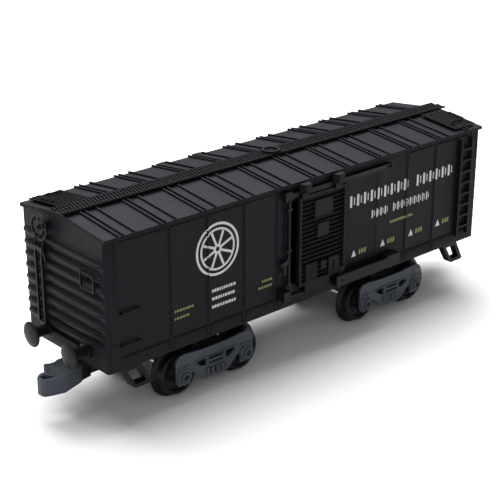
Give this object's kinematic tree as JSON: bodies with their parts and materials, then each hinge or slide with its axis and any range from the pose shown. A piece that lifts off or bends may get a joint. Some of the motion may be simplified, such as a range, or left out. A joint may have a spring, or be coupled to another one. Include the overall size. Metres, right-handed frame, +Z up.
{
  "type": "toy covered goods wagon",
  "caption": "Toy railway boxcar with gable roof, sliding side doors, corrugated ends, swivelling bogies with flanged wheels, and hook couplers that swing.",
  "frame": {"origin": "on the floor under the wheel flanges, below the middle of the body", "axes": "+X along the wagon towards its right end, +Y across it towards the far side, +Z up"},
  "size_m": [0.2754, 0.0704, 0.096],
  "materials": {
    "body_plastic": "satin moulded plastic, near black",
    "roof_plastic": "fine matt moulded plastic, dark warm grey",
    "trim_plastic": "matt moulded plastic, black",
    "bogie_plastic": "satin moulded plastic, blue grey",
    "wheel_plastic": "semi gloss moulded plastic, black",
    "bright_steel": "bright zinc plated steel",
    "white_print": "pad printed ink, off white",
    "yellow_print": "pad printed ink, dull yellow"
  },
  "bodies": {
    "wagon": {"body_shell": "body_plastic", "roof": "roof_plastic", "running_board": "trim_plastic", "walkway_near": "trim_plastic", "walkway_far": "trim_plastic", "roof_ring": "trim_plastic", "underframe": "trim_plastic", "body_screws": "bright_steel", "ladder_near": "body_plastic", "ladder_far": "body_plastic", "grab_irons": "trim_plastic", "placard_frame": "trim_plastic", "brake_rigging": "trim_plastic", "buffer_left_near": "trim_plastic", "buffer_left_far": "trim_plastic", "buffer_right_near": "trim_plastic", "buffer_right_far": "trim_plastic", "step_left_near": "trim_plastic", "step_right_near": "trim_plastic", "step_right_far": "trim_plastic", "rail_near": "trim_plastic", "rail_far": "trim_plastic", "track_near": "trim_plastic", "track_far": "trim_plastic", "latch_near": "trim_plastic", "latch_far": "trim_plastic", "kingpin_left": "bright_steel", "kingpin_right": "bright_steel", "kingpin_washer_left": "bright_steel", "kingpin_washer_right": "bright_steel"},
    "near_door": {"door_near": "body_plastic"},
    "far_door": {"door_far": "body_plastic"},
    "handbrake": {"brake_wheel": "trim_plastic"},
    "left_bogie": {"bogie_frame_left": "trim_plastic", "side_frame_left_near": "bogie_plastic", "side_frame_left_far": "bogie_plastic", "coupler_pin_left": "bright_steel"},
    "left_coupler": {"coupler_left": "bogie_plastic"},
    "left_outer_wheelset": {"axle_left_outer": "bright_steel", "wheel_left_outer_near": "wheel_plastic", "wheel_left_outer_far": "wheel_plastic"},
    "left_inner_wheelset": {"axle_left_inner": "bright_steel", "wheel_left_inner_near": "wheel_plastic", "wheel_left_inner_far": "wheel_plastic"},
    "right_bogie": {"bogie_frame_right": "trim_plastic", "side_frame_right_near": "bogie_plastic", "side_frame_right_far": "bogie_plastic", "coupler_pin_right": "bright_steel"},
    "right_coupler": {"coupler_right": "bogie_plastic"},
    "right_outer_wheelset": {"axle_right_outer": "bright_steel", "wheel_right_outer_near": "wheel_plastic", "wheel_right_outer_far": "wheel_plastic"},
    "right_inner_wheelset": {"axle_right_inner": "bright_steel", "wheel_right_inner_near": "wheel_plastic", "wheel_right_inner_far": "wheel_plastic"}
  },
  "joints": [
    {"name": "near_door_slide", "type": "slide", "parent": "wagon", "child": "near_door", "axis": [1, 0, 0], "range_m": [-0.0026, 0.0274]},
    {"name": "far_door_slide", "type": "slide", "parent": "wagon", "child": "far_door", "axis": [-1, 0, 0], "range_m": [-0.0283, 0.0017]},
    {"name": "brake_wheel_spin", "type": "hinge", "parent": "wagon", "child": "handbrake", "pos_m": [-0.1232, 0.0119, 0.0846], "axis": [1, 0, 0], "continuous": true},
    {"name": "left_bogie_swivel", "type": "hinge", "parent": "wagon", "child": "left_bogie", "pos_m": [-0.059, 0, 0.0205], "axis": [0, 0, 1], "range_deg": [-12, 12]},
    {"name": "left_coupler_swing", "type": "hinge", "parent": "left_bogie", "child": "left_coupler", "pos_m": [-0.101, 0, 0.0185], "axis": [0, 0, 1], "range_deg": [-20, 20]},
    {"name": "left_outer_wheelset_spin", "type": "hinge", "parent": "left_bogie", "child": "left_outer_wheelset", "pos_m": [-0.0775, 0, 0.0125], "axis": [0, 1, 0], "continuous": true},
    {"name": "left_inner_wheelset_spin", "type": "hinge", "parent": "left_bogie", "child": "left_inner_wheelset", "pos_m": [-0.0405, 0, 0.0125], "axis": [0, 1, 0], "continuous": true},
    {"name": "right_bogie_swivel", "type": "hinge", "parent": "wagon", "child": "right_bogie", "pos_m": [0.059, 0, 0.0205], "axis": [0, 0, 1], "range_deg": [-12, 12]},
    {"name": "right_coupler_swing", "type": "hinge", "parent": "right_bogie", "child": "right_coupler", "pos_m": [0.101, 0, 0.0185], "axis": [0, 0, 1], "range_deg": [-20, 20]},
    {"name": "right_outer_wheelset_spin", "type": "hinge", "parent": "right_bogie", "child": "right_outer_wheelset", "pos_m": [0.0775, 0, 0.0125], "axis": [0, 1, 0], "continuous": true},
    {"name": "right_inner_wheelset_spin", "type": "hinge", "parent": "right_bogie", "child": "right_inner_wheelset", "pos_m": [0.0405, 0, 0.0125], "axis": [0, 1, 0], "continuous": true}
  ]
}
